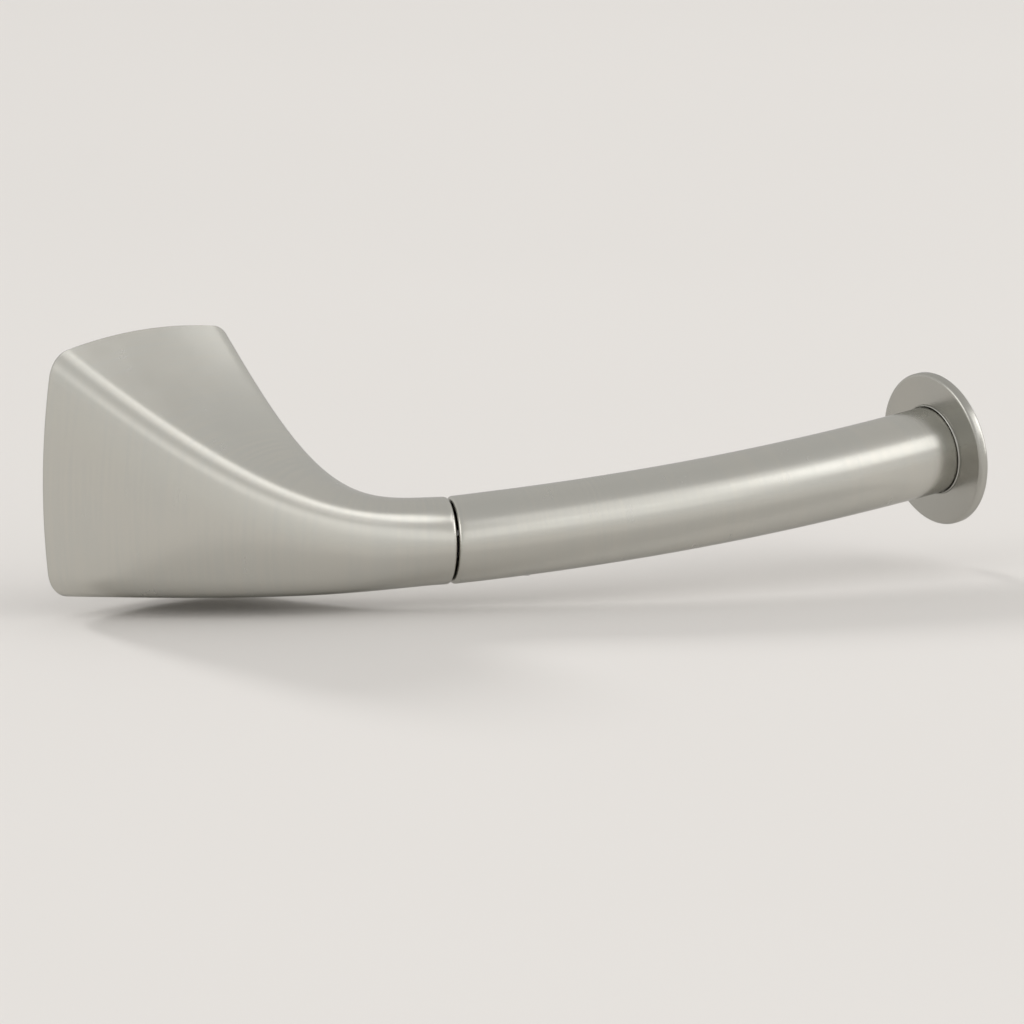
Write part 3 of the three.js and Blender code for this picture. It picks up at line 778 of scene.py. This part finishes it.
def makeLockWasher():
    # a square wire wound through most of a turn, its two ends a little apart
    start, end = seat["x"] - fixing["lockBack"], seat["x"] - fixing["lockFrom"]
    thick = (end - start) * 0.8
    bm = bmesh.new()
    corners = [(start, fixing["bore"]), (start, fixing["lockRadius"]), (start + thick, fixing["lockRadius"]),
               (start + thick, fixing["bore"])]
    verts = [bm.verts.new((x, radius, 0)) for x, radius in corners]
    edges = [bm.edges.new((verts[i], verts[(i + 1) % 4])) for i in range(4)]
    steps = 60
    climb = Vector((end - start - thick, 0, 0)) / steps
    bmesh.ops.spin(bm, geom=verts + edges, cent=(0, 0, 0), axis=(1, 0, 0), dvec=climb,
                   angle=math.radians(345), steps=steps, use_merge=False, use_duplicate=False)
    bmesh.ops.holes_fill(bm, edges=bm.edges, sides=4)
    return moved(bm, z=lug["z"])


def makeCarrier():
    look = carrier
    start, end, split = look["ledgeStart"], look["end"], look["plugStart"]
    steps = 14
    body = loft([armSection(start + (end - start) * i / steps, look["radius"]) for i in range(steps + 1)], 72)
    cheeks = []
    for side in (-1, 1):
        near, far = sorted((side * hinge["cheekIn"], side * hinge["cheekOut"]))
        cheeks.append(block(look["cheekStart"], split + 1, near, far, look["cheekBottom"], look["top"]))
    half, bottom = look["ledgeHalf"], look["bottom"]
    ledge = block(start - 1, split + 1, -half, half, bottom, look["ledgeTop"])
    plug = block(split, end + 2, bottom, -bottom, bottom, look["top"])
    kept = combine(plug, [*cheeks, ledge], "UNION")
    pinHole = moved(rod(hinge["pinRadius"] + air, -6, 6), x=hinge["x"], z=hinge["z"], turn=90)
    grub = rod(armGrub["radius"] + air, armGrub["hole"][0], armGrub["top"] + 1, 32)
    grub = moved(grub, x=armGrub["x"], turn=-90, axis="Y")
    return combine(combine(body, [kept], "INTERSECT"), [pinHole, grub])


def makeBumper():
    half = bumper["halfWidth"]
    bm = block(*bumper["x"], -half, half, carrier["ledgeTop"] + air, bumper["top"])
    bmesh.ops.bevel(bm, geom=bm.edges[:], offset=bumper["round"], segments=5, profile=0.5, affect="EDGES",
                    material=-1, offset_type="OFFSET", clamp_overlap=True)
    return bm


def makePlug():
    end = armLength - stud["plugInset"]
    start = end - stud["plugLength"]
    shares = [i / 6 for i in range(7)]
    body = loft([armSection(start + (end - start) * share, carrier["radius"]) for share in shares], 72)
    begin, radius = start - 3, stud["radius"] + air
    bore = loft([armSection(begin + (armLength - begin) * share, radius) for share in shares], 32)
    return combine(body, [bore])


addPiece("hingeLug", makeLug(), "steel", "post", "hinge_lug", hingePlace, edge=0.2)
flatWasher = ring(fixing["bore"], fixing["washerRadius"], seat["x"] - fixing["washerBack"],
                  seat["x"] - air, dip=0.2)
addPiece("lugWasher", moved(flatWasher, z=lug["z"]), "steel", "post", "lug_washer", hingePlace)
addPiece("lugLockWasher", makeLockWasher(), "steel", "post", "lug_lock_washer", hingePlace)
addPiece("lugNut", makeNut(), "steel", "post", "lug_nut", hingePlace, edge=0.12)
addPiece("hingeCarrier", makeCarrier(), "brass", "arm", "hinge_block", hingePlace, edge=0.25)
pin = rod(hinge["pinRadius"], -hinge["pinHalf"], hinge["pinHalf"], 48, 0.2)
pin = moved(pin, x=hinge["x"], z=hinge["z"], turn=90)
addPiece("hingePin", pin, "steel", "arm", "hinge_pin", hingePlace)
for place, side in (("Near", -1), ("Far", 1)):
    inner, outer = hinge["lugHalf"] + air, hinge["lugHalf"] + air + hinge["washer"]
    start, end = sorted((side * inner, side * outer))
    washer = ring(hinge["pinRadius"] + air, hinge["noseRadius"], start, end, dip=0.1)
    addPiece("thrustWasher" + place, moved(washer, x=hinge["x"], z=hinge["z"], turn=90), "nylon", "arm",
             "thrust_washer_" + place.lower(), hingePlace)
addPiece("stopBumper", makeBumper(), "rubber", "arm", "stop_bumper", hingePlace)
addPiece("endPlug", makePlug(), "brass", "arm", "end_plug", hingePlace, edge=0.3)
addPiece("discStud", threaded(stud["radius"], -stud["plugInset"] - stud["plugLength"] + 2,
                              -disc["spigot"] + disc["hole"], stud["pitch"], 0.28),
         "steel", "arm", "disc_stud", discPlace)


# The floor: flat, just under the holder, and wide enough to run on past every view.

room = {"floor": -0.0362, "radius": 12.0, "sides": 96, "colour": (0.75, 0.732, 0.714), "roughness": 0.95}


def makeFloor():
    bm = bmesh.new()
    bmesh.ops.create_circle(bm, cap_ends=True, cap_tris=False, segments=room["sides"], radius=room["radius"])
    bmesh.ops.translate(bm, vec=(0, 0, room["floor"]), verts=bm.verts)
    mesh = bpy.data.meshes.new("studioFloor")
    bm.to_mesh(mesh)
    bm.free()
    material, tree, surface = newFinish("matFloor", 0.0, room["roughness"])
    place = addNode(tree, "ShaderNodeTexCoord").outputs["Object"]
    tone = stretchedNoise(tree, place, (1, 1, 1), 3.0, 2.0)
    paler = tuple(value * 1.012 for value in room["colour"])
    tree.links.new(blendColours(tree, tone, room["colour"], paler), surface.inputs["Base Color"])
    surface.inputs["Specular IOR Level"].default_value = 0.1
    mesh.materials.append(material)
    obj = bpy.data.objects.new("studioFloor", mesh)
    bpy.context.scene.collection.objects.link(obj)
    return obj


lit["floor"] = [makeFloor()]


# The lights: soft boxes round the holder, each with the brightness its face shows.
# A light with "only" reaches the floor, the post or the arm and leaves the rest to the others.

lamps = [
    {"name": "edgeBox", "azimuth": 58, "elevation": 16, "width": 1.5, "height": 2.2, "bright": 2.1},
    {"name": "sideBox", "azimuth": -108, "elevation": 22, "width": 1.6, "height": 1.6, "bright": 1.3},
    {"name": "rightBox", "azimuth": 33, "elevation": 32, "width": 1.6, "height": 1.4, "bright": 0.85},
    {"name": "frontBox", "azimuth": -8, "elevation": 22, "width": 2.0, "height": 1.1, "bright": 0.38},
    {"name": "ridgeBox", "azimuth": 28, "elevation": 59, "width": 1.3, "height": 0.85, "bright": 1.2,
     "only": "post"},
    {"name": "armBox", "azimuth": 6, "elevation": 43, "width": 1.8, "height": 1.5, "bright": 0.40,
     "only": "arm"},
]
# Far behind, for the soft shadow on the floor: its spread is in degrees.
shadowSun = {"name": "shadowSun", "azimuth": 172, "elevation": 26, "spread": 13.0, "power": 1.2,
             "only": "floor"}
lampTint = (1.0, 0.985, 0.98)
lampDistance = 3.0
lampTarget = Vector((0.07, -0.04, 0))


def wayTo(azimuth, elevation):
    # azimuth 0 stands on the -Y side, 90 on the +X side
    flat = math.cos(elevation)
    return Vector((math.sin(azimuth) * flat, -math.cos(azimuth) * flat, math.sin(elevation)))


def aim(obj, azimuth, elevation):
    way = wayTo(math.radians(azimuth), math.radians(elevation))
    obj.location = lampTarget + way * lampDistance
    obj.rotation_euler = way.to_track_quat("Z", "Y").to_euler()


def addLamp(look, data):
    data.color = lampTint
    lamp = bpy.data.objects.new(look["name"], data)
    bpy.context.scene.collection.objects.link(lamp)
    lamp.visible_camera = False
    aim(lamp, look["azimuth"], look["elevation"])
    if "only" in look:
        group = bpy.data.collections.new(look["name"] + "Lights")
        lamp.light_linking.receiver_collection = group
        for obj in lit[look["only"]]:
            group.objects.link(obj)


for look in lamps:
    data = bpy.data.lights.new(look["name"], "AREA")
    data.shape = "RECTANGLE"
    data.size, data.size_y = look["width"], look["height"]
    data.energy = math.pi * look["bright"] * look["width"] * look["height"]
    addLamp(look, data)
sun = bpy.data.lights.new(shadowSun["name"], "SUN")
sun.angle = math.radians(shadowSun["spread"])
sun.energy = shadowSun["power"]
addLamp(shadowSun, sun)

# The room round the lights grows a little dimmer from the horizon to overhead.
sky = {"horizon": (0.86, 0.847, 0.821), "overhead": (0.64, 0.63, 0.611), "from": 0.1, "to": 0.95}
world = bpy.data.worlds.new("studio")
bpy.context.scene.world = world
world.use_nodes = True
skyTree = world.node_tree
direction = addNode(skyTree, "ShaderNodeTexCoord").outputs["Generated"]
height = addNode(skyTree, "ShaderNodeSeparateXYZ", None, {"Vector": direction}).outputs["Z"]
ramp = addNode(skyTree, "ShaderNodeValToRGB", None, {"Fac": height})
low, high = ramp.color_ramp.elements
low.position, low.color = sky["from"], (*sky["horizon"], 1)
high.position, high.color = sky["to"], (*sky["overhead"], 1)
skyTree.links.new(ramp.outputs["Color"], skyTree.nodes["Background"].inputs["Color"])
bpy.context.scene.view_settings.view_transform = "Standard"
print("lights placed:", len(lamps) + 1)


# The camera looks from the left of the post, a little above it, through a long lens.

view = {"azimuth": -44.17, "elevation": 11.01, "distance": 3.0, "lens": 421.77, "right": 93.86, "up": -12.38,
        "roll": 0.77}
azimuth, elevation = math.radians(view["azimuth"]), math.radians(view["elevation"])
back = wayTo(azimuth, elevation)
right = Vector((math.cos(azimuth), math.sin(azimuth), 0))
lift = back.cross(right)
target = (right * view["right"] + lift * view["up"]) * mm
cameraData = bpy.data.cameras.new("camera")
cameraData.lens = view["lens"]
cameraData.sensor_width = 36.0
cameraData.clip_start, cameraData.clip_end = 0.05, 30.0
camera = bpy.data.objects.new("camera", cameraData)
bpy.context.scene.collection.objects.link(camera)
camera.rotation_mode = "QUATERNION"
camera.location = back * view["distance"]
gaze = (camera.location - target).to_track_quat("Z", "Y")
camera.rotation_quaternion = gaze @ Matrix.Rotation(math.radians(view["roll"]), 4, "Z").to_quaternion()
bpy.context.scene.camera = camera
